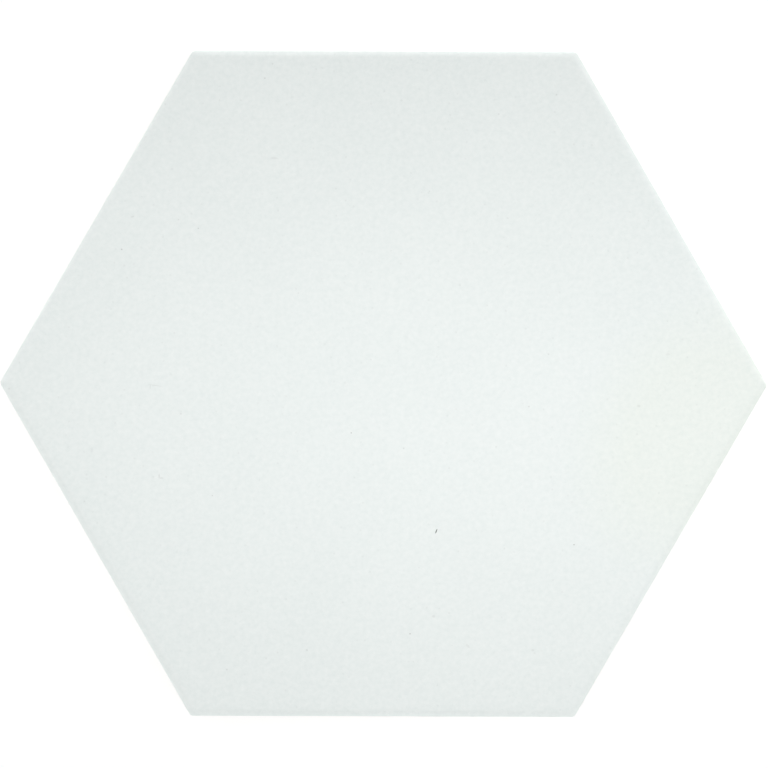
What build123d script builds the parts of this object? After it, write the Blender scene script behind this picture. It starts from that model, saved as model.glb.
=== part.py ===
from build123d import *

import math
import os

# A dry-pressed hexagonal porcelain tile, lying on its keyed back with the glazed face up.
# Millimetres. The origin is the middle of the bedding plane, +Z goes up through the glazed face, and two
# opposite corners point along +X and -X.

# Plan and section
across_flats = 175.0  # between two opposite joint faces
thickness = 8.5  # bedding plane to glazed face
corner_radius = 1.2  # rounding of the six upright corners, in plan

# Cushioned edge of the glazed face: a wide arc that falls from the face, then a small arc to the joint face
cushion_width = 2.0  # how far the cushioned edge reaches in from the joint face
cushion_fall = 25.0  # slope of the wide arc where the small one takes over, in degrees
arris_radius = 0.3  # small arc between the cushion and the joint face
arc_steps = 4  # stretches of an arc between the outlines that shape it

# Foot, drawn in where the tile leaves the die
foot_height = 2.5  # bedding plane to the lower edge of the joint face
foot_inset = 0.7  # how far the foot draws in from the joint face
foot_arris = 0.3  # softened arris between the foot and the bedding plane

# Keyed back: a honeycomb of shallow cells that the adhesive grips
key_pitch = 20.0  # between the middles of two neighbouring cells
key_rib = 3.0  # flat width of the rib left between two cells
key_depth = 0.8  # bedding plane to the floor of a cell
key_draft = 30.0  # lean of a cell's walls from upright, in degrees
key_corner = 1.5  # rounding of a cell's corners, in plan
key_turn = 30.0  # a cell's turn against the tile, in degrees, so that its flats face its neighbours
key_border = 6.0  # least width of the flat border round the cells


def rounded_hexagon(half_width, radius, height, turn=0.0):
    """A level hexagon with rounded corners, half_width from its middle to its flats, a corner along +X."""
    sharp = RegularPolygon(half_width, 6, major_radius=False, rotation=turn)
    return Pos(0, 0, height) * fillet(sharp.vertices(), radius)


def tile_outline(inset, height):
    """The tile's outline at a height above the bed, drawn in by inset from the joint faces."""
    return rounded_hexagon(across_flats / 2 - inset, corner_radius, height)


def foot_and_joint_faces(top):
    """The lower tile: softened arris, drawn-in foot and upright joint faces, up to the height top."""
    outlines = [
        tile_outline(foot_inset + foot_arris, 0),
        tile_outline(foot_inset, foot_arris),
        tile_outline(0, foot_height),
        tile_outline(0, top),
    ]
    return loft(outlines, ruled=True)


def arc_band(radius, inset, height, steep, shallow):
    """A band whose edge is an arc in section, rising from inset and height while its slope goes from steep
    to shallow, both in radians."""
    outlines = []
    for step in range(arc_steps + 1):
        slope = steep + (shallow - steep) * step / arc_steps
        inward = radius * (math.sin(steep) - math.sin(slope))
        upward = radius * (math.cos(slope) - math.cos(steep))
        outlines.append(tile_outline(inset + inward, height + upward))
    return loft(outlines)


def tile_body():
    """The tile without its key: the foot and joint faces, the arris and the cushion up to the flat face."""
    upright = math.pi / 2
    fall = math.radians(cushion_fall)
    arris_width = arris_radius * (1 - math.sin(fall))
    arris_height = arris_radius * math.cos(fall)
    cushion_radius = (cushion_width - arris_width) / math.sin(fall)
    cushion_foot = thickness - cushion_radius * (1 - math.cos(fall))
    arris_foot = cushion_foot - arris_height
    lower = foot_and_joint_faces(arris_foot)
    arris = arc_band(arris_radius, 0, arris_foot, upright, fall)
    cushion = arc_band(cushion_radius, arris_width, cushion_foot, fall, 0)
    return lower + arris + cushion


def key_places():
    """The middles of the cells: rings about a middle cell, as many as the border leaves room for."""
    row_pitch = key_pitch * math.sqrt(3) / 2
    cell_reach = (key_pitch - key_rib) / math.sqrt(3)
    bed_half_width = across_flats / 2 - foot_inset - foot_arris
    rings = math.floor((bed_half_width - key_border - cell_reach) / row_pitch)
    places = []
    for row in range(-rings, rings + 1):
        cells = 2 * rings + 1 - abs(row)
        for cell in range(cells):
            places.append(Pos(key_pitch * (cell - (cells - 1) / 2), row_pitch * row, 0))
    return places


def key_cell():
    """One cell, standing on the bedding plane and narrowing towards its floor."""
    mouth = (key_pitch - key_rib) / 2
    floor = mouth - key_depth * math.tan(math.radians(key_draft))
    return loft(
        [
            rounded_hexagon(mouth, key_corner, 0, key_turn),
            rounded_hexagon(floor, key_corner, key_depth, key_turn),
        ],
        ruled=True,
    )


cell = key_cell()
hexagon_tile = tile_body() - [place * cell for place in key_places()]
hexagon_tile.label = "hexagon_tile"

os.makedirs("parts", exist_ok=True)
export_step(hexagon_tile, "parts/hexagon_tile.step")
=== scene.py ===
"""A matt-glazed hexagonal porcelain tile that lies face up on a white table, seen straight down.

The tile is modelled anew over its solid, in the same place and at the same size, with a finer cushioned edge,
a glaze that ends part way down the sides, softened keys on the back, the faint sway of a fired face and the
small nick that the photograph shows. Lengths are in metres; sizes are written in millimetres times MM.
"""

import logging
import math
from collections.abc import Iterator, Mapping
from dataclasses import dataclass
from enum import Enum
from typing import Any

import bmesh
import bpy
from mathutils import Matrix, Vector, noise


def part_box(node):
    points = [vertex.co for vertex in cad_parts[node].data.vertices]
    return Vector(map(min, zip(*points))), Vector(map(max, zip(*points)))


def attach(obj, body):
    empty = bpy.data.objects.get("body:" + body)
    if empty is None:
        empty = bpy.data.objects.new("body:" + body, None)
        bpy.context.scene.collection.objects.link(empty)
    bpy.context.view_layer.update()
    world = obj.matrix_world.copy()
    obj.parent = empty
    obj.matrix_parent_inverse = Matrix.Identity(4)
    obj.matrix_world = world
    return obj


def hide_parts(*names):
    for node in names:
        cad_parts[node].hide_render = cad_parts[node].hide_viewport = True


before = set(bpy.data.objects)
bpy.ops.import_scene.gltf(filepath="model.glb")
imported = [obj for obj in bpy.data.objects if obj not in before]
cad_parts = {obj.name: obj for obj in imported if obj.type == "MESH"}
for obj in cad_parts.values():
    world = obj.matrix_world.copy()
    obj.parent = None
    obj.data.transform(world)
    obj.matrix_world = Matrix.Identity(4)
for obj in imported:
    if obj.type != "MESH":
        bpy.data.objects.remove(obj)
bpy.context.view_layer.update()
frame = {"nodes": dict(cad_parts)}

MM = 0.001
NODE = "hexagon_tile"
BODY = "root"

log = logging.getLogger("tile")


def linear(colour: str) -> tuple[float, float, float, float]:
    """Turns an sRGB hex colour into the linear colour that a shader socket takes.

    Args:
        colour: the colour as "#RRGGBB".

    Returns:
        Linear red, green and blue, and an alpha of 1.
    """
    channels = [int(colour[i : i + 2], 16) / 255 for i in (1, 3, 5)]
    red, green, blue = [c / 12.92 if c <= 0.04045 else ((c + 0.055) / 1.055) ** 2.4 for c in channels]
    return red, green, blue, 1.0


def add_node(
    tree: bpy.types.NodeTree,
    kind: str,
    links: Mapping[str | int, bpy.types.NodeSocket] | None = None,
    values: Mapping[str | int, Any] | None = None,
    **settings: Any,
) -> bpy.types.Node:
    """Adds one node to a tree, with its settings, its input values and its links.

    Args:
        tree: the tree that the node joins.
        kind: Blender's name for the node's type.
        links: for an input's name or number, the output that feeds it.
        values: for an input's name or number, the value that it holds.
        **settings: the node's own properties, by name.

    Returns:
        The new node.
    """
    node = tree.nodes.new(kind)
    for name, value in settings.items():
        setattr(node, name, value)
    for name, value in (values or {}).items():
        node.inputs[name].default_value = value
    for name, output in (links or {}).items():
        tree.links.new(output, node.inputs[name])
    return node


class Region(Enum):
    """The tile's two surfaces, by the place of their material on the mesh."""

    GLAZED = 0
    BARE = 1


@dataclass(frozen=True)
class Photograph:
    """Where the photograph shows the tile, in its own pixels, counted from the top left.

    Attributes:
        side: width and height of the square picture.
        middle_x: pixel column of the tile's middle.
        middle_y: pixel row of the tile's middle.
        across_flats: pixels between the tile's top and bottom sides.
        turn: how far the tile is turned clockwise in the picture, in degrees.
    """

    side: int = 768
    middle_x: float = 383.0
    middle_y: float = 383.4
    across_flats: float = 665.0
    turn: float = 0.178

    def spot(self, pixel_x: float, pixel_y: float, half_width: float) -> Vector:
        """Finds where on the tile a pixel looks.

        Args:
            pixel_x: column of the pixel.
            pixel_y: row of the pixel.
            half_width: half of the tile's real width across its flats.

        Returns:
            The place on the tile, from its middle, with +Y towards the picture's top.
        """
        scale = 2 * half_width / self.across_flats
        offset = Vector(((pixel_x - self.middle_x) * scale, (self.middle_y - pixel_y) * scale, 0.0))
        return Matrix.Rotation(math.radians(self.turn), 3, "Z") @ offset


@dataclass(frozen=True)
class Mark:
    """A soft-edged oval mark on the glazed face.

    Attributes:
        pixel_x: column of its middle in the photograph.
        pixel_y: row of its middle in the photograph.
        length: its longer size.
        width: its shorter size.
        lean: turn of its length from the picture's horizontal, anticlockwise, in degrees.
        strength: how far it covers the glaze, from 0 to 1.
        core: share of its size within which it has that strength.
    """

    pixel_x: float
    pixel_y: float
    length: float = 0.5 * MM
    width: float = 0.4 * MM
    lean: float = 0.0
    strength: float = 0.45
    core: float = 0.5

    def spot(self, photo: Photograph, half_width: float) -> Vector:
        """Finds the mark's place on the face of a tile of that half width."""
        return photo.spot(self.pixel_x, self.pixel_y, half_width)

    def mask(
        self, tree: bpy.types.NodeTree, place: bpy.types.NodeSocket, spot: Vector
    ) -> bpy.types.NodeSocket:
        """Draws the mark as an upright column, so that the sway of the face doesn't change it.

        Args:
            tree: the glaze's tree.
            place: Object coordinates.
            spot: the mark's place on the face.

        Returns:
            How strong it is at each point, from 0 to 1.
        """
        column_height = 10.0
        local = add_node(
            tree,
            "ShaderNodeMapping",
            {"Vector": place},
            {
                "Location": spot,
                "Rotation": (0.0, 0.0, math.radians(self.lean)),
                "Scale": (self.length / 2, self.width / 2, column_height),
            },
            vector_type="TEXTURE",
        ).outputs["Vector"]
        distance = add_node(
            tree, "ShaderNodeVectorMath", {0: local}, operation="LENGTH"
        ).outputs["Value"]
        return add_node(
            tree,
            "ShaderNodeMapRange",
            {"Value": distance},
            {"From Min": 1.0, "From Max": self.core, "To Max": self.strength},
        ).outputs["Result"]


# What the photograph shows on this tile's face
# The nick's dark mark is painted shade in its hollow, laid over the dent that the mesh presses in.
NICK = Mark(pixel_x=435.7, pixel_y=530.6, length=1.6 * MM, width=0.37 * MM, lean=67.0, strength=0.85)
SCUFF = (
    Mark(pixel_x=155.0, pixel_y=384.9, length=4.4 * MM, width=0.32 * MM, lean=-8.5, strength=0.125),
    Mark(pixel_x=150.0, pixel_y=386.3, length=1.7 * MM, width=0.36 * MM, lean=85.0, strength=0.1),
)
# A painted pool of warm light: it tints the glaze towards straw on one corner.
PAINTED_WARM_LIGHT = Mark(pixel_x=692.0, pixel_y=432.0, length=82.0 * MM, width=62.0 * MM, lean=57.0, strength=0.85)
SPECKS = (
    Mark(pixel_x=350.8, pixel_y=432.3),
    Mark(pixel_x=573.3, pixel_y=544.0),
    Mark(pixel_x=409.5, pixel_y=633.0),
    Mark(pixel_x=121.5, pixel_y=249.0),
    Mark(pixel_x=198.0, pixel_y=228.0, strength=0.3),
    Mark(pixel_x=264.5, pixel_y=78.0, strength=0.3),
    Mark(pixel_x=212.0, pixel_y=495.0, strength=0.25),
)
SMEARS = (
    Mark(pixel_x=274.0, pixel_y=157.9, length=2.4 * MM, width=0.75 * MM, lean=-4.0, strength=0.1),
    Mark(pixel_x=637.9, pixel_y=405.4, length=1.2 * MM, width=0.75 * MM, strength=0.12),
    Mark(pixel_x=158.9, pixel_y=475.6, length=1.5 * MM, width=0.5 * MM, lean=90.0, strength=0.16),
    Mark(pixel_x=160.8, pixel_y=477.4, length=1.6 * MM, width=0.6 * MM, lean=-5.0, strength=0.12),
    Mark(pixel_x=467.2, pixel_y=645.2, length=1.7 * MM, width=0.8 * MM, lean=-50.0, strength=0.1),
    Mark(pixel_x=91.6, pixel_y=450.0, length=1.6 * MM, width=0.85 * MM, lean=90.0, strength=0.07),
    Mark(pixel_x=433.0, pixel_y=615.6, length=1.1 * MM, width=0.9 * MM, strength=0.12),
    Mark(pixel_x=132.2, pixel_y=216.4, length=1.3 * MM, width=0.55 * MM, lean=10.0, strength=0.13),
    Mark(pixel_x=667.0, pixel_y=353.8, length=1.4 * MM, width=0.9 * MM, strength=0.075),
    Mark(pixel_x=532.2, pixel_y=649.3, length=1.0 * MM, width=0.75 * MM, strength=0.115),
)
MARKS = (NICK, *SCUFF, *SPECKS, *SMEARS)


@dataclass(frozen=True)
class IronGrains:
    """Iron grains of one size, scattered through the glaze.

    Attributes:
        spacing: distance from one grain to the next.
        radius: radius of a grain.
        core: radius within which its colour is full.
        faintest: how far the faintest of them hides the glaze, from 0 to 1.
        darkest: how far the darkest of them does.
    """

    spacing: float
    radius: float
    core: float
    faintest: float
    darkest: float

    def mask(self, tree: bpy.types.NodeTree, place: bpy.types.NodeSocket) -> bpy.types.NodeSocket:
        """Scatters the grains: those that the surface cuts show as specks of many sizes.

        Args:
            tree: the glaze's tree.
            place: Object coordinates.

        Returns:
            How dark each point is, from 0 to 1.
        """
        cells = add_node(tree, "ShaderNodeTexVoronoi", {"Vector": place}, {"Scale": 1 / self.spacing})
        inside = add_node(
            tree,
            "ShaderNodeMapRange",
            {"Value": cells.outputs["Distance"]},
            {"From Min": self.radius / self.spacing, "From Max": self.core / self.spacing},
        ).outputs["Result"]
        kind = add_node(tree, "ShaderNodeSeparateColor", {"Color": cells.outputs["Color"]}).outputs[0]
        depth = add_node(
            tree,
            "ShaderNodeMapRange",
            {"Value": kind},
            {"To Min": self.faintest, "To Max": self.darkest},
        ).outputs["Result"]
        return add_node(
            tree, "ShaderNodeMath", {0: inside, 1: depth}, operation="MULTIPLY"
        ).outputs[0]


COARSE_IRON = IronGrains(spacing=6.5 * MM, radius=0.32 * MM, core=0.1 * MM, faintest=0.04, darkest=0.24)
FINE_IRON = IronGrains(spacing=2.5 * MM, radius=0.38 * MM, core=0.08 * MM, faintest=0.025, darkest=0.1)


@dataclass(frozen=True)
class MattGlaze:
    """Opaque matt feldspar glaze, sprayed on and fired on.

    It gives the eye a dense white with a breath of green, no mirror image but a wide soft sheen along the
    cushioned edge, a sandy grain as fine as the spray, a painted straw tint of warm light on one corner,
    painted shade in the nick, and here and there a ferrous speck or a faint smear.

    Attributes:
        name: the material's name.
        pale: colour of most of the glaze.
        deep: colour of its darker grains.
        iron_and_nick_shade: colour of specks and marks, and of the painted shade in the nick.
        painted_warm_tint: tint of the painted warm light on one corner, on white.
        roughness: middle roughness of the fired surface.
        roughness_sway: how far the roughness departs from it.
        ior: index of refraction of a feldspar glaze.
        grain: width of a grain.
        grain_depth: depth of the grain.
        cloud: width of the slow changes of shade.
        cloud_share: how much the clouds weigh against the grain.
        deep_shade: grain and clouds together where the glaze is deep.
        pale_shade: grain and clouds together where it is pale.
        peel: width of the soft dimples that a sprayed coat dries with.
        peel_depth: depth of those dimples.
    """

    name: str = "matt_feldspar_glaze"
    pale: str = "#EFF4F2"
    deep: str = "#E5ECEA"
    iron_and_nick_shade: str = "#6E706C"
    painted_warm_tint: str = "#FFFFFB"
    roughness: float = 0.45
    roughness_sway: float = 0.05
    ior: float = 1.52
    grain: float = 0.55 * MM
    grain_depth: float = 0.004 * MM
    cloud: float = 28.0 * MM
    cloud_share: float = 0.3
    deep_shade: float = 0.32
    pale_shade: float = 0.98
    peel: float = 2.6 * MM
    peel_depth: float = 0.006 * MM

    def material(self, photo: Photograph, half_width: float) -> bpy.types.Material:
        """Makes the glaze.

        Args:
            photo: the photograph, which places the marks.
            half_width: half of the tile's width across its flats.

        Returns:
            The material, in Object coordinates.
        """
        material = bpy.data.materials.new(self.name)
        material.use_nodes = True
        tree = material.node_tree
        shader = tree.nodes["Principled BSDF"]
        shader.inputs["IOR"].default_value = self.ior
        place = add_node(tree, "ShaderNodeTexCoord").outputs["Object"]
        # A cell of this noise holds a light and a dark grain.
        grain = add_node(
            tree,
            "ShaderNodeTexNoise",
            {"Vector": place},
            {"Scale": 0.5 / self.grain, "Detail": 2.0, "Roughness": 0.6},
        ).outputs["Fac"]
        rough = add_node(
            tree,
            "ShaderNodeMapRange",
            {"Value": grain},
            {
                "To Min": self.roughness - self.roughness_sway,
                "To Max": self.roughness + self.roughness_sway,
            },
        ).outputs["Result"]
        # Painted warm light: a straw tint multiplied into the glaze colour on one corner.
        painted_warm_pool = PAINTED_WARM_LIGHT.mask(tree, place, PAINTED_WARM_LIGHT.spot(photo, half_width))
        ground = add_node(
            tree,
            "ShaderNodeMix",
            {0: painted_warm_pool, 6: self.ground(tree, place, grain)},
            {7: linear(self.painted_warm_tint)},
            data_type="RGBA",
            blend_type="MULTIPLY",
        ).outputs[2]
        masks = [grains.mask(tree, place) for grains in (COARSE_IRON, FINE_IRON)]
        masks += [mark.mask(tree, place, mark.spot(photo, half_width)) for mark in MARKS]
        # The nick's mark paints shade into the nick's hollow. The grains, specks, scuffs and smears are the
        # glaze's own colour.
        dark = masks[0]
        for mask in masks[1:]:
            dark = add_node(tree, "ShaderNodeMath", {0: dark, 1: mask}, operation="MAXIMUM").outputs[0]
        colour = add_node(
            tree, "ShaderNodeMix", {0: dark, 6: ground}, {7: linear(self.iron_and_nick_shade)}, data_type="RGBA"
        ).outputs[2]
        tree.links.new(colour, shader.inputs["Base Color"])
        tree.links.new(rough, shader.inputs["Roughness"])
        tree.links.new(self.relief(tree, place, grain), shader.inputs["Normal"])
        return material

    def ground(
        self, tree: bpy.types.NodeTree, place: bpy.types.NodeSocket, grain: bpy.types.NodeSocket
    ) -> bpy.types.NodeSocket:
        """Shades the glaze by its grain and its clouds.

        Args:
            tree: the glaze's tree.
            place: Object coordinates.
            grain: the grain's noise.

        Returns:
            The colour of the unmarked glaze.
        """
        cloud = add_node(
            tree, "ShaderNodeTexNoise", {"Vector": place}, {"Scale": 1 / self.cloud, "Detail": 3.0}
        ).outputs["Fac"]
        shade = add_node(
            tree,
            "ShaderNodeMath",
            {0: cloud, 2: grain},
            {1: self.cloud_share},
            operation="MULTIPLY_ADD",
        ).outputs[0]
        tone = add_node(
            tree,
            "ShaderNodeMapRange",
            {"Value": shade},
            {"From Min": self.deep_shade, "From Max": self.pale_shade},
        ).outputs["Result"]
        return add_node(
            tree,
            "ShaderNodeMix",
            {0: tone},
            {6: linear(self.deep), 7: linear(self.pale)},
            data_type="RGBA",
        ).outputs[2]

    def relief(
        self, tree: bpy.types.NodeTree, place: bpy.types.NodeSocket, grain: bpy.types.NodeSocket
    ) -> bpy.types.NodeSocket:
        """Adds the spray dimples and the sandy grain.

        Args:
            tree: the glaze's tree.
            place: Object coordinates.
            grain: the grain's noise.

        Returns:
            The normal of the surface.
        """
        peel = add_node(
            tree, "ShaderNodeTexNoise", {"Vector": place}, {"Scale": 1 / self.peel, "Detail": 1.0}
        ).outputs["Fac"]
        dimples = add_node(
            tree, "ShaderNodeBump", {"Height": peel}, {"Strength": 1.0, "Distance": self.peel_depth}
        ).outputs["Normal"]
        return add_node(
            tree,
            "ShaderNodeBump",
            {"Height": grain, "Normal": dimples},
            {"Strength": 1.0, "Distance": self.grain_depth},
        ).outputs["Normal"]


@dataclass(frozen=True)
class BarePorcelain:
    """Unglazed pressed porcelain, fired once.

    It gives the eye a dry, warm off-white with the fine mottle of the pressed powder, a mist of glaze
    droplets just below the glaze, and a thin chalky wash of kiln engobe, worn and streaky, where it touched
    the rollers.

    Attributes:
        name: the material's name.
        pale: colour of the lighter powder.
        deep: colour of the darker powder.
        mist: colour of the glaze droplets.
        wash: colour of the engobe.
        roughness: roughness of the dry body.
        roughness_sway: how far the roughness departs from it.
        ior: index of refraction of porcelain.
        granule: width of a pressed granule.
        granule_depth: depth of the granules' relief.
        deep_powder: the powder's noise where it is deep.
        pale_powder: the powder's noise where it is pale.
        droplet: width of a glaze droplet.
        mist_reach: how far below the glaze the droplets reach.
        mist_growth: how much the droplets' noise gains on the way up to the glaze.
        mist_start: the noise at which a droplet shows.
        mist_full: the noise at which it covers most.
        mist_cover: how far it then hides the body, from 0 to 1.
        wash_height: height above the bed that the engobe reaches.
        streak: width of the streaks that the rollers leave in it.
        streak_stretch: how many times longer than wide a streak is.
        wash_worn: the streaks' noise where the engobe is worn off.
        wash_whole: the streaks' noise where it is whole.
    """

    name: str = "bare_pressed_porcelain"
    pale: str = "#DDD8CE"
    deep: str = "#D0C9BD"
    mist: str = "#E6EBE8"
    wash: str = "#E9E6DF"
    roughness: float = 0.85
    roughness_sway: float = 0.08
    ior: float = 1.5
    granule: float = 0.3 * MM
    granule_depth: float = 0.02 * MM
    deep_powder: float = 0.3
    pale_powder: float = 0.7
    droplet: float = 0.35 * MM
    mist_reach: float = 1.6 * MM
    mist_growth: float = 0.6
    mist_start: float = 0.75
    mist_full: float = 1.0
    mist_cover: float = 0.85
    wash_height: float = 0.25 * MM
    streak: float = 6.0 * MM
    streak_stretch: float = 4.0
    wash_worn: float = 0.35
    wash_whole: float = 0.6

    def material(self, glaze_line: float) -> bpy.types.Material:
        """Makes the bare body.

        Args:
            glaze_line: height at which the glaze ends on the sides.

        Returns:
            The material, in Object coordinates.
        """
        material = bpy.data.materials.new(self.name)
        material.use_nodes = True
        tree = material.node_tree
        shader = tree.nodes["Principled BSDF"]
        shader.inputs["IOR"].default_value = self.ior
        place = add_node(tree, "ShaderNodeTexCoord").outputs["Object"]
        height = add_node(tree, "ShaderNodeSeparateXYZ", {0: place}).outputs["Z"]
        # A cell of this noise holds a light and a dark granule.
        powder = add_node(
            tree,
            "ShaderNodeTexNoise",
            {"Vector": place},
            {"Scale": 0.5 / self.granule, "Detail": 3.0, "Roughness": 0.65},
        ).outputs["Fac"]
        mottle = add_node(
            tree,
            "ShaderNodeMapRange",
            {"Value": powder},
            {"From Min": self.deep_powder, "From Max": self.pale_powder},
        ).outputs["Result"]
        body = add_node(
            tree,
            "ShaderNodeMix",
            {0: mottle},
            {6: linear(self.deep), 7: linear(self.pale)},
            data_type="RGBA",
        ).outputs[2]
        misted = add_node(
            tree,
            "ShaderNodeMix",
            {0: self.droplets(tree, place, height, glaze_line), 6: body},
            {7: linear(self.mist)},
            data_type="RGBA",
        ).outputs[2]
        colour = add_node(
            tree,
            "ShaderNodeMix",
            {0: self.engobe(tree, place, height), 6: misted},
            {7: linear(self.wash)},
            data_type="RGBA",
        ).outputs[2]
        rough = add_node(
            tree,
            "ShaderNodeMapRange",
            {"Value": powder},
            {
                "To Min": self.roughness - self.roughness_sway,
                "To Max": self.roughness + self.roughness_sway,
            },
        ).outputs["Result"]
        gritty = add_node(
            tree, "ShaderNodeBump", {"Height": powder}, {"Strength": 1.0, "Distance": self.granule_depth}
        ).outputs["Normal"]
        tree.links.new(colour, shader.inputs["Base Color"])
        tree.links.new(rough, shader.inputs["Roughness"])
        tree.links.new(gritty, shader.inputs["Normal"])
        return material

    def droplets(
        self,
        tree: bpy.types.NodeTree,
        place: bpy.types.NodeSocket,
        height: bpy.types.NodeSocket,
        glaze_line: float,
    ) -> bpy.types.NodeSocket:
        """Scatters droplets of glaze, closer together towards the glaze.

        Args:
            tree: the body's tree.
            place: Object coordinates.
            height: height above the bed.
            glaze_line: height at which the glaze ends on the sides.

        Returns:
            How far they hide the body, from 0 to 1.
        """
        scatter = add_node(
            tree, "ShaderNodeTexNoise", {"Vector": place}, {"Scale": 0.5 / self.droplet, "Detail": 1.0}
        ).outputs["Fac"]
        nearness = add_node(
            tree,
            "ShaderNodeMapRange",
            {"Value": height},
            {"From Min": glaze_line - self.mist_reach, "From Max": glaze_line, "To Max": self.mist_growth},
        ).outputs["Result"]
        spray = add_node(tree, "ShaderNodeMath", {0: scatter, 1: nearness}, operation="ADD").outputs[0]
        return add_node(
            tree,
            "ShaderNodeMapRange",
            {"Value": spray},
            {"From Min": self.mist_start, "From Max": self.mist_full, "To Max": self.mist_cover},
        ).outputs["Result"]

    def engobe(
        self, tree: bpy.types.NodeTree, place: bpy.types.NodeSocket, height: bpy.types.NodeSocket
    ) -> bpy.types.NodeSocket:
        """Washes the lowest surfaces with engobe, streaked along X as the tile rolled through the kiln.

        Args:
            tree: the body's tree.
            place: Object coordinates.
            height: height above the bed.

        Returns:
            How far the engobe hides the body, from 0 to 1.
        """
        low = add_node(
            tree,
            "ShaderNodeMapRange",
            {"Value": height},
            {"From Min": self.wash_height, "From Max": 0.0},
        ).outputs["Result"]
        drawn_out = add_node(
            tree, "ShaderNodeMapping", {"Vector": place}, {"Scale": (1 / self.streak_stretch, 1.0, 1.0)}
        ).outputs["Vector"]
        streaks = add_node(
            tree,
            "ShaderNodeTexNoise",
            {"Vector": drawn_out},
            {"Scale": 1 / self.streak, "Detail": 4.0, "Roughness": 0.7},
        ).outputs["Fac"]
        left = add_node(
            tree,
            "ShaderNodeMapRange",
            {"Value": streaks},
            {"From Min": self.wash_worn, "From Max": self.wash_whole},
        ).outputs["Result"]
        return add_node(tree, "ShaderNodeMath", {0: low, 1: left}, operation="MULTIPLY").outputs[0]


@dataclass(frozen=True)
class HexagonTile:
    """The tile: a flat glazed face, a cushioned edge, sides that draw in to a foot, and a keyed back.

    Attributes:
        half_width: half of the width across the flats.
        thickness: bedding plane to glazed face.
        corner_radius: rounding of the upright corners.
        corner_steps: faces round such a corner.
        face_step: about the size of the triangles of the face.
        cushion_width: how far the cushioned edge reaches in from the joint face.
        cushion_fall: slope of the cushion where the arris takes over, in degrees.
        cushion_steps: rings of faces round the cushion.
        arris_radius: rounding between the cushion and the joint face.
        arris_steps: rings of faces round the arris.
        glaze_line: height at which the glaze ends on the sides.
        glaze_ripple: how far that line wanders up and down.
        glaze_wave: length of its wander.
        flutter: size of a quicker wander on top, as a share of the first.
        flutter_pace: how many times quicker it is.
        glaze_coat: thickness of the glaze, which stands proud of the bare side.
        foot_height: bedding plane to the start of the drawn-in foot.
        foot_inset: how far the foot draws in.
        foot_arris: softened arris between the foot and the bedding plane.
        key_pitch: between the middles of two cells of the back.
        key_rib: width of the rib between two cells.
        key_depth: depth of a cell.
        key_draft: lean of a cell's walls from upright, in degrees.
        key_corner: rounding of a cell's corners in plan.
        key_corner_steps: faces round such a corner.
        key_soft: rounding of the edges of the ribs and of the cells' floors.
        key_soft_steps: faces round such an edge.
        key_bend: least bend of an edge that is rounded so, in degrees.
        key_border: least width of the flat border round the cells.
        sway_depth: how far the fired face sways.
        sway_length: length of that sway.
        nick_depth: depth of the nick in the face.
        nick_patches: reach of each patch of finer triangles round the nick, in lengths of the nick.
        nick_cuts: cuts across each edge of a patch.
        crease: bend past which an edge is shaded sharp, in degrees.
        weld: distance within which two points count as one.
    """

    half_width: float
    thickness: float
    corner_radius: float = 1.2 * MM
    corner_steps: int = 5
    face_step: float = 1.0 * MM
    cushion_width: float = 2.0 * MM
    cushion_fall: float = 25.0
    cushion_steps: int = 7
    arris_radius: float = 0.3 * MM
    arris_steps: int = 5
    glaze_line: float = 5.4 * MM
    glaze_ripple: float = 0.5 * MM
    glaze_wave: float = 8.0 * MM
    flutter: float = 0.4
    flutter_pace: float = 2.7
    glaze_coat: float = 0.06 * MM
    foot_height: float = 2.5 * MM
    foot_inset: float = 0.7 * MM
    foot_arris: float = 0.3 * MM
    key_pitch: float = 20.0 * MM
    key_rib: float = 3.0 * MM
    key_depth: float = 0.8 * MM
    key_draft: float = 30.0
    key_corner: float = 1.5 * MM
    key_corner_steps: int = 3
    key_soft: float = 0.3 * MM
    key_soft_steps: int = 2
    key_bend: float = 35.0
    key_border: float = 6.0 * MM
    sway_depth: float = 0.012 * MM
    sway_length: float = 12.0 * MM
    nick_depth: float = 0.2 * MM
    nick_patches: tuple[float, ...] = (1.6, 0.8)
    nick_cuts: int = 3
    crease: float = 40.0
    weld: float = 0.01 * MM

    def build(self, photo: Photograph) -> bpy.types.Object:
        """Models the tile as one closed mesh in the solid's place.

        Args:
            photo: the photograph, which places the nick.

        Returns:
            The tile's object, with no materials yet.
        """
        bm = bmesh.new()
        self.face(bm)
        self.sides(bm)
        self.corners(bm)
        self.ripple(bm)
        self.nick(bm, NICK.spot(photo, self.half_width))
        self.sway(bm)
        self.keys(bm)
        self.border(bm)
        bmesh.ops.recalc_face_normals(bm, faces=bm.faces)
        open_edges = sum(not edge.is_manifold for edge in bm.edges)
        log.info("tile mesh: %d faces, %d open edges", len(bm.faces), open_edges)
        mesh = bpy.data.meshes.new("tile")
        bm.to_mesh(mesh)
        bm.free()
        mesh.shade_smooth()
        mesh.set_sharp_from_angle(angle=math.radians(self.crease))
        tile = bpy.data.objects.new("tile", mesh)
        bpy.context.scene.collection.objects.link(tile)
        return tile

    def face(self, bm: bmesh.types.BMesh) -> None:
        """Lays out the flat face inside the cushion as an even net of triangles.

        Args:
            bm: the tile's mesh, still empty.
        """
        corner_reach = (self.half_width - self.cushion_width) / math.cos(math.pi / 6)
        bmesh.ops.create_circle(
            bm,
            cap_ends=True,
            cap_tris=True,
            segments=6,
            radius=corner_reach,
            matrix=Matrix.Translation((0, 0, self.thickness)) @ Matrix.Rotation(math.pi / 6, 4, "Z"),
        )
        cuts = round(corner_reach / self.face_step) - 1
        bmesh.ops.subdivide_edges(bm, edges=bm.edges, cuts=cuts, use_grid_fill=True)

    def cushion_radius(self) -> float:
        """Radius of the cushion, which takes what the arris leaves of the cushioned edge."""
        fall = math.sin(math.radians(self.cushion_fall))
        return (self.cushion_width - self.arris_radius * (1 - fall)) / fall

    def shoulder(self) -> float:
        """Height at which the joint face ends and the arris starts."""
        level = math.cos(math.radians(self.cushion_fall))
        return self.thickness - self.cushion_radius() * (1 - level) - self.arris_radius * level

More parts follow.
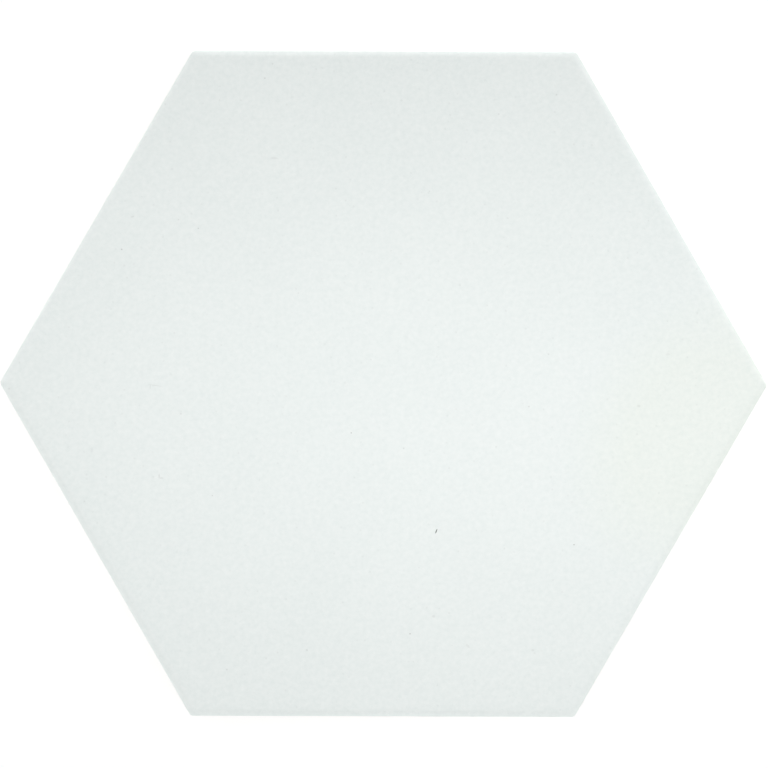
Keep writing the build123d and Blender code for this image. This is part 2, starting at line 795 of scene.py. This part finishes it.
    def section(self) -> Iterator[tuple[float, float, Region]]:
        """Walks down the tile's edge, from the face to the bed.

        Returns:
            For each ring, how far it lies in from the joint face, its height, and the surface that leads
            to it.
        """
        fall = math.radians(self.cushion_fall)
        for step in range(1, self.cushion_steps + 1):
            slope = fall * step / self.cushion_steps
            inset = self.cushion_width - self.cushion_radius() * math.sin(slope)
            yield inset, self.thickness - self.cushion_radius() * (1 - math.cos(slope)), Region.GLAZED
        for step in range(1, self.arris_steps + 1):
            slope = fall + (math.pi / 2 - fall) * step / self.arris_steps
            inset = self.arris_radius * (1 - math.sin(slope))
            yield inset, self.shoulder() + self.arris_radius * math.cos(slope), Region.GLAZED
        yield 0.0, self.glaze_line, Region.GLAZED
        yield self.glaze_coat, self.glaze_line - 2 * self.glaze_coat, Region.GLAZED
        yield self.glaze_coat, self.foot_height, Region.BARE
        yield self.foot_inset, self.foot_arris, Region.BARE
        yield self.foot_inset + self.foot_arris, 0.0, Region.BARE

    def sides(self, bm: bmesh.types.BMesh) -> None:
        """Draws the rim of the face out and down, ring by ring, to the bed.

        Args:
            bm: the tile's mesh, which holds the face.
        """
        rim = [edge for edge in bm.edges if edge.is_boundary]
        half = self.half_width - self.cushion_width
        for inset, height, region in self.section():
            made = bmesh.ops.extrude_edge_only(bm, edges=rim)["geom"]
            verts = [part for part in made if isinstance(part, bmesh.types.BMVert)]
            rim = [part for part in made if isinstance(part, bmesh.types.BMEdge)]
            for part in made:
                if isinstance(part, bmesh.types.BMFace):
                    part.material_index = region.value
            growth = (self.half_width - inset) / half
            bmesh.ops.scale(bm, verts=verts, vec=(growth, growth, 1.0))
            half = self.half_width - inset
            for vert in verts:
                vert.co.z = height

    def corners(self, bm: bmesh.types.BMesh) -> None:
        """Rounds the six upright corners, from the face down to the bed.

        Args:
            bm: the tile's mesh, which holds the face and the sides.
        """
        edges = [edge for edge in bm.edges if self.on_mitre(edge.verts[0]) and self.on_mitre(edge.verts[1])]
        bmesh.ops.bevel(
            bm,
            geom=edges,
            offset=self.corner_radius * math.tan(math.pi / 6),
            affect="EDGES",
            segments=self.corner_steps,
            profile=0.5,
            material=-1,
            clamp_overlap=True,
            loop_slide=True,
        )

    def on_mitre(self, vert: bmesh.types.BMVert) -> bool:
        """Tells whether a vertex lies on the line where two sides meet.

        Args:
            vert: a vertex of the face or the sides.

        Returns:
            True at the rim and beyond it, at a multiple of 60 degrees from +X.
        """
        slack = 1e-4
        sixths = math.atan2(vert.co.y, vert.co.x) / (math.pi / 3)
        rim_reach = (self.half_width - self.cushion_width) / math.cos(math.pi / 6)
        return abs(sixths - round(sixths)) < slack and vert.co.to_2d().length > rim_reach - self.face_step / 2

    def ripple(self, bm: bmesh.types.BMesh) -> None:
        """Lets the lower edge of the glaze wander, as a sprayed edge does.

        Args:
            bm: the tile's mesh, with its corners rounded.
        """
        for vert in bm.verts:
            # This takes both rings of that edge, which lie two coats apart.
            if abs(vert.co.z - self.glaze_line) < 3 * self.glaze_coat:
                along = vert.co.to_2d().to_3d() / self.glaze_wave
                quick = self.flutter * noise.noise(self.flutter_pace * along)
                vert.co.z += self.glaze_ripple * (noise.noise(along) + quick)

    def nick(self, bm: bmesh.types.BMesh, spot: Vector) -> None:
        """Presses the small nick into the face, on a patch of finer triangles.

        Args:
            bm: the tile's mesh.
            spot: the nick's place on the face.
        """
        for patch in self.nick_patches:
            near = [
                face
                for face in bm.faces
                if (face.calc_center_median().to_2d() - spot.to_2d()).length < patch * NICK.length
            ]
            edges = dict.fromkeys(edge for face in near for edge in face.edges)
            bmesh.ops.subdivide_edges(bm, edges=list(edges), cuts=self.nick_cuts, use_grid_fill=True)
            many_sided = [face for face in bm.faces if len(face.verts) > 4]
            bmesh.ops.triangulate(bm, faces=many_sided, ngon_method="BEAUTY")
        upright = Matrix.Rotation(-math.radians(NICK.lean), 2)
        for vert in bm.verts:
            along, across = upright @ (vert.co.to_2d() - spot.to_2d())
            out = math.hypot(along / (NICK.length / 2), across / (NICK.width / 2))
            if out < 1:
                vert.co.z -= self.nick_depth * (1 - out * out) ** 2

    def sway(self, bm: bmesh.types.BMesh) -> None:
        """Lets the glazed face sink by hair-fine amounts, as a fired face does.

        Args:
            bm: the tile's mesh.
        """
        for vert in bm.verts:
            if vert.co.z > self.shoulder():
                dip = 0.5 + 0.5 * noise.noise(vert.co / self.sway_length)
                vert.co.z -= self.sway_depth * dip

    def keys(self, bm: bmesh.types.BMesh) -> None:
        """Adds the honeycomb of shallow cells in the bedding plane.

        Args:
            bm: the tile's mesh, open at the bed.
        """
        old = set(bm.faces)
        self.sink(bm, self.mouths(bm))
        self.soften(bm)
        for face in bm.faces:
            if face not in old:
                face.material_index = Region.BARE.value

    def mouths(self, bm: bmesh.types.BMesh) -> list[bmesh.types.BMFace]:
        """Lays out the cells' mouths in rings about a middle one, with ribs between them.

        Args:
            bm: the tile's mesh, open at the bed.

        Returns:
            The faces of the mouths.
        """
        row_pitch = self.key_pitch * math.sin(math.pi / 3)
        cell_reach = (self.key_pitch - self.key_rib) / math.sqrt(3)
        bed_half_width = self.half_width - self.foot_inset - self.foot_arris
        rings = math.floor((bed_half_width - self.key_border - cell_reach) / row_pitch)
        mouths = []
        for row in range(-rings, rings + 1):
            count = 2 * rings + 1 - abs(row)
            for cell in range(count):
                middle = (self.key_pitch * (cell - (count - 1) / 2), row_pitch * row, 0.0)
                made = bmesh.ops.create_circle(
                    bm,
                    cap_ends=True,
                    segments=6,
                    radius=self.key_pitch / math.sqrt(3),
                    matrix=Matrix.Translation(middle),
                )
                mouths += made["verts"][0].link_faces
        verts = [vert for mouth in mouths for vert in mouth.verts]
        bmesh.ops.remove_doubles(bm, verts=verts, dist=self.weld)
        bmesh.ops.inset_individual(bm, faces=mouths, thickness=self.key_rib / 2, use_even_offset=True)
        return mouths

    def sink(self, bm: bmesh.types.BMesh, mouths: list[bmesh.types.BMFace]) -> None:
        """Sinks the cells into the back, narrower towards their floors.

        Args:
            bm: the tile's mesh.
            mouths: the faces of the cells' mouths.
        """
        mouth_half_width = (self.key_pitch - self.key_rib) / 2
        narrow = 1 - self.key_depth * math.tan(math.radians(self.key_draft)) / mouth_half_width
        for floor in bmesh.ops.extrude_discrete_faces(bm, faces=mouths)["faces"]:
            middle = Matrix.Translation(-floor.calc_center_median())
            bmesh.ops.scale(bm, verts=floor.verts, vec=(narrow, narrow, 1.0), space=middle)
            bmesh.ops.translate(bm, verts=floor.verts, vec=(0.0, 0.0, self.key_depth))

    def soften(self, bm: bmesh.types.BMesh) -> None:
        """Rounds the cells' upright corners, then the edges of their mouths and floors.

        Args:
            bm: the tile's mesh, with its cells sunk.
        """
        bmesh.ops.bevel(
            bm,
            geom=[edge for edge in bm.edges if self.spans(edge, 0.0, self.key_depth)],
            offset=self.key_corner * math.tan(math.pi / 6),
            affect="EDGES",
            segments=self.key_corner_steps,
            profile=0.5,
            material=-1,
        )
        bend = math.radians(self.key_bend)
        level = [
            edge
            for edge in bm.edges
            if self.spans(edge, 0.0, 0.0) or self.spans(edge, self.key_depth, self.key_depth)
        ]
        bmesh.ops.bevel(
            bm,
            geom=[edge for edge in level if edge.calc_face_angle(0.0) > bend],
            offset=self.key_soft,
            affect="EDGES",
            segments=self.key_soft_steps,
            profile=0.5,
            material=-1,
            clamp_overlap=True,
        )

    def spans(self, edge: bmesh.types.BMEdge, low: float, high: float) -> bool:
        """Tells whether an edge reaches from one height to another, or lies level where they are the same.

        Args:
            edge: any edge of the tile.
            low: height of its lower end.
            high: height of its upper end.

        Returns:
            True if it does.
        """
        lower, upper = sorted(vert.co.z for vert in edge.verts)
        return abs(lower - low) < self.weld and abs(upper - high) < self.weld

    def border(self, bm: bmesh.types.BMesh) -> None:
        """Fills the flat border between the cells and the foot.

        Args:
            bm: the tile's mesh, open only there.
        """
        rims = [edge for edge in bm.edges if edge.is_boundary]
        made = bmesh.ops.triangle_fill(bm, edges=rims, use_beauty=True, normal=(0.0, 0.0, -1.0))
        for part in made["geom"]:
            if isinstance(part, bmesh.types.BMFace):
                part.material_index = Region.BARE.value

    def dress(self, tile: bpy.types.Object, photo: Photograph) -> None:
        """Gives the tile its two surfaces and its place in the frame.

        Args:
            tile: the tile's object.
            photo: the photograph, which places the marks.
        """
        tile.data.materials.append(MattGlaze().material(photo, self.half_width))
        tile.data.materials.append(BarePorcelain().material(self.glaze_line))
        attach(tile, BODY)
        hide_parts(NODE)


def background_rays(tree: bpy.types.NodeTree) -> bpy.types.NodeSocket:
    """Tells the rays that show a white background from those that only light the tile.

    Args:
        tree: the tree that asks.

    Returns:
        1 for camera, glossy and transmission rays, and 0 for the rest.
    """
    rays = add_node(tree, "ShaderNodeLightPath").outputs
    seen = add_node(
        tree,
        "ShaderNodeMath",
        {0: rays["Is Camera Ray"], 1: rays["Is Glossy Ray"]},
        operation="MAXIMUM",
    ).outputs[0]
    return add_node(
        tree, "ShaderNodeMath", {0: seen, 1: rays["Is Transmission Ray"]}, operation="MAXIMUM"
    ).outputs[0]


@dataclass(frozen=True)
class WhiteLaminate:
    """Plain white table laminate.

    It gives the eye an even white, which the tile's soft shadow still darkens.

    Attributes:
        name: the material's name.
        glow: how much of its white it gives off by itself to the eye.
        white: how much it sends back to the eye of the light on it.
        bounce: how much of that light it sends back to the tile, as a colour.
    """

    name: str = "white_laminate"
    glow: float = 0.38
    white: float = 0.78
    bounce: str = "#BCBCBC"

    def material(self) -> bpy.types.Material:
        """Makes the laminate.

        Returns:
            The material.
        """
        material = bpy.data.materials.new(self.name)
        material.use_nodes = True
        tree = material.node_tree
        tree.nodes.clear()
        lit = add_node(tree, "ShaderNodeBsdfDiffuse", values={"Color": linear(self.bounce)}).outputs[0]
        glow = add_node(tree, "ShaderNodeEmission", values={"Strength": self.glow}).outputs[0]
        grey = (self.white, self.white, self.white, 1.0)
        shaded = add_node(tree, "ShaderNodeBsdfDiffuse", values={"Color": grey}).outputs[0]
        shown = add_node(tree, "ShaderNodeAddShader", {0: glow, 1: shaded}).outputs[0]
        mixed = add_node(
            tree, "ShaderNodeMixShader", {0: background_rays(tree), 1: lit, 2: shown}
        ).outputs[0]
        add_node(tree, "ShaderNodeOutputMaterial", {"Surface": mixed})
        return material


@dataclass(frozen=True)
class Studio:
    """A white table top in a light tent, a lamp from the far side and a long gridded strip high overhead.

    Attributes:
        table_side: width of the table, so great that its edge stays out of the picture from low down too.
        room_light: level of the tent overhead.
        wall_light: level of the tent's walls, down at the table.
        wall_height: how high the walls reach, in degrees above the table.
        far_light: strength of the far lamp.
        far_height: how high it stands, in degrees above the table.
        far_bearing: where it stands, in degrees from +X.
        far_size: how wide it looks from the tile, in degrees.
        strip_power: power of the strip, in watts.
        strip_length: length of the strip, along X.
        strip_width: width of the strip.
        strip_x: place of its middle along X.
        strip_y: place of its middle along Y.
        strip_height: its height above the table.
        strip_turn: turn of its length from X, in degrees.
        strip_spread: how wide the grid lets its light spread, in degrees.
    """

    table_side: float = 20.0
    room_light: float = 0.634
    wall_light: float = 5.1
    wall_height: float = 12.0
    far_light: float = 0.9
    far_height: float = 6.0
    far_bearing: float = 72.0
    far_size: float = 10.0
    strip_power: float = 0.304
    strip_length: float = 1.6
    strip_width: float = 0.08
    strip_x: float = 0.637
    strip_y: float = -0.034
    strip_height: float = 1.4
    strip_turn: float = -2.2
    strip_spread: float = 18.8

    def build(self) -> None:
        """Makes the table, the room and the lamps."""
        self.table()
        self.room()
        self.far_lamp()
        self.strip()

    def table(self) -> None:
        """Makes the table top, which looks white and keeps the tile's shadow."""
        bm = bmesh.new()
        bmesh.ops.create_grid(bm, x_segments=1, y_segments=1, size=self.table_side / 2)
        mesh = bpy.data.meshes.new("table")
        bm.to_mesh(mesh)
        bm.free()
        mesh.materials.append(WhiteLaminate().material())
        table = bpy.data.objects.new("table", mesh)
        bpy.context.scene.collection.objects.link(table)

    def room(self) -> None:
        """Makes the light of the tent, brighter down its walls, and white beyond the table."""
        world = bpy.data.worlds.new("room")
        world.use_nodes = True
        tree = world.node_tree
        tree.nodes.clear()
        direction = add_node(tree, "ShaderNodeTexCoord").outputs["Generated"]
        rise = add_node(tree, "ShaderNodeSeparateXYZ", {0: direction}).outputs["Z"]
        tent = add_node(
            tree,
            "ShaderNodeMapRange",
            {"Value": rise},
            {
                "From Max": math.sin(math.radians(self.wall_height)),
                "To Min": self.wall_light,
                "To Max": self.room_light,
            },
        ).outputs["Result"]
        level = add_node(
            tree, "ShaderNodeMapRange", {"Value": background_rays(tree), "To Min": tent}, {"To Max": 1.0}
        ).outputs["Result"]
        air = add_node(tree, "ShaderNodeBackground", {"Strength": level}, {"Color": linear("#FFFFFF")})
        add_node(tree, "ShaderNodeOutputWorld", {"Surface": air.outputs[0]})
        bpy.context.scene.world = world

    def far_lamp(self) -> None:
        """Hangs the far lamp, off towards the picture's top."""
        lamp = bpy.data.lights.new("far_lamp", "SUN")
        lamp.energy = self.far_light
        lamp.angle = math.radians(self.far_size)
        holder = bpy.data.objects.new("far_lamp", lamp)
        height, bearing = math.radians(self.far_height), math.radians(self.far_bearing)
        towards = Vector(
            (math.cos(height) * math.cos(bearing), math.cos(height) * math.sin(bearing), math.sin(height))
        )
        holder.rotation_euler = towards.to_track_quat("Z", "Y").to_euler()
        bpy.context.scene.collection.objects.link(holder)

    def strip(self) -> None:
        """Hangs the strip over the right half of the tile, with a grid that keeps its light together."""
        lamp = bpy.data.lights.new("strip", "AREA")
        lamp.shape = "RECTANGLE"
        lamp.size = self.strip_length
        lamp.size_y = self.strip_width
        lamp.spread = math.radians(self.strip_spread)
        lamp.energy = self.strip_power
        holder = bpy.data.objects.new("strip", lamp)
        holder.location = (self.strip_x, self.strip_y, self.strip_height)
        holder.rotation_euler.z = math.radians(self.strip_turn)
        holder.visible_camera = False
        bpy.context.scene.collection.objects.link(holder)


@dataclass(frozen=True)
class DownwardCamera:
    """A camera straight above the tile, framed as the photograph is.

    Attributes:
        lens: focal length, in millimetres.
        sensor: width of the sensor, in millimetres.
    """

    lens: float = 100.0
    sensor: float = 36.0

    def build(self, photo: Photograph, tile: HexagonTile) -> None:
        """Places the camera.

        Args:
            photo: the photograph, which gives the framing.
            tile: the tile, which gives the scale.
        """
        lens = bpy.data.cameras.new("camera")
        lens.lens = self.lens
        lens.sensor_width = self.sensor
        width = photo.side * 2 * tile.half_width / photo.across_flats
        middle = (photo.side - 1) / 2
        camera = bpy.data.objects.new("camera", lens)
        camera.location = photo.spot(middle, middle, tile.half_width)
        camera.location.z = tile.shoulder() + width * self.lens / self.sensor
        camera.rotation_euler.z = math.radians(photo.turn)
        bpy.context.scene.collection.objects.link(camera)
        bpy.context.scene.camera = camera


def main() -> None:
    """Builds the tile, the studio and the camera, in that order."""
    logging.basicConfig(level=logging.INFO, format="%(name)s: %(message)s")
    bpy.context.scene.view_settings.view_transform = "Standard"
    photo = Photograph()
    log.info("frame holds %s", ", ".join(frame["nodes"]))
    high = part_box(NODE)[1]
    tile = HexagonTile(half_width=high.y, thickness=high.z)
    piece = tile.build(photo)
    tile.dress(piece, photo)
    log.info("%s stands for %s", piece.name, NODE)
    Studio().build()
    log.info("table, room and lamps are in place")
    DownwardCamera().build(photo, tile)
    log.info("camera is in place")


if __name__ == "__main__":
    main()
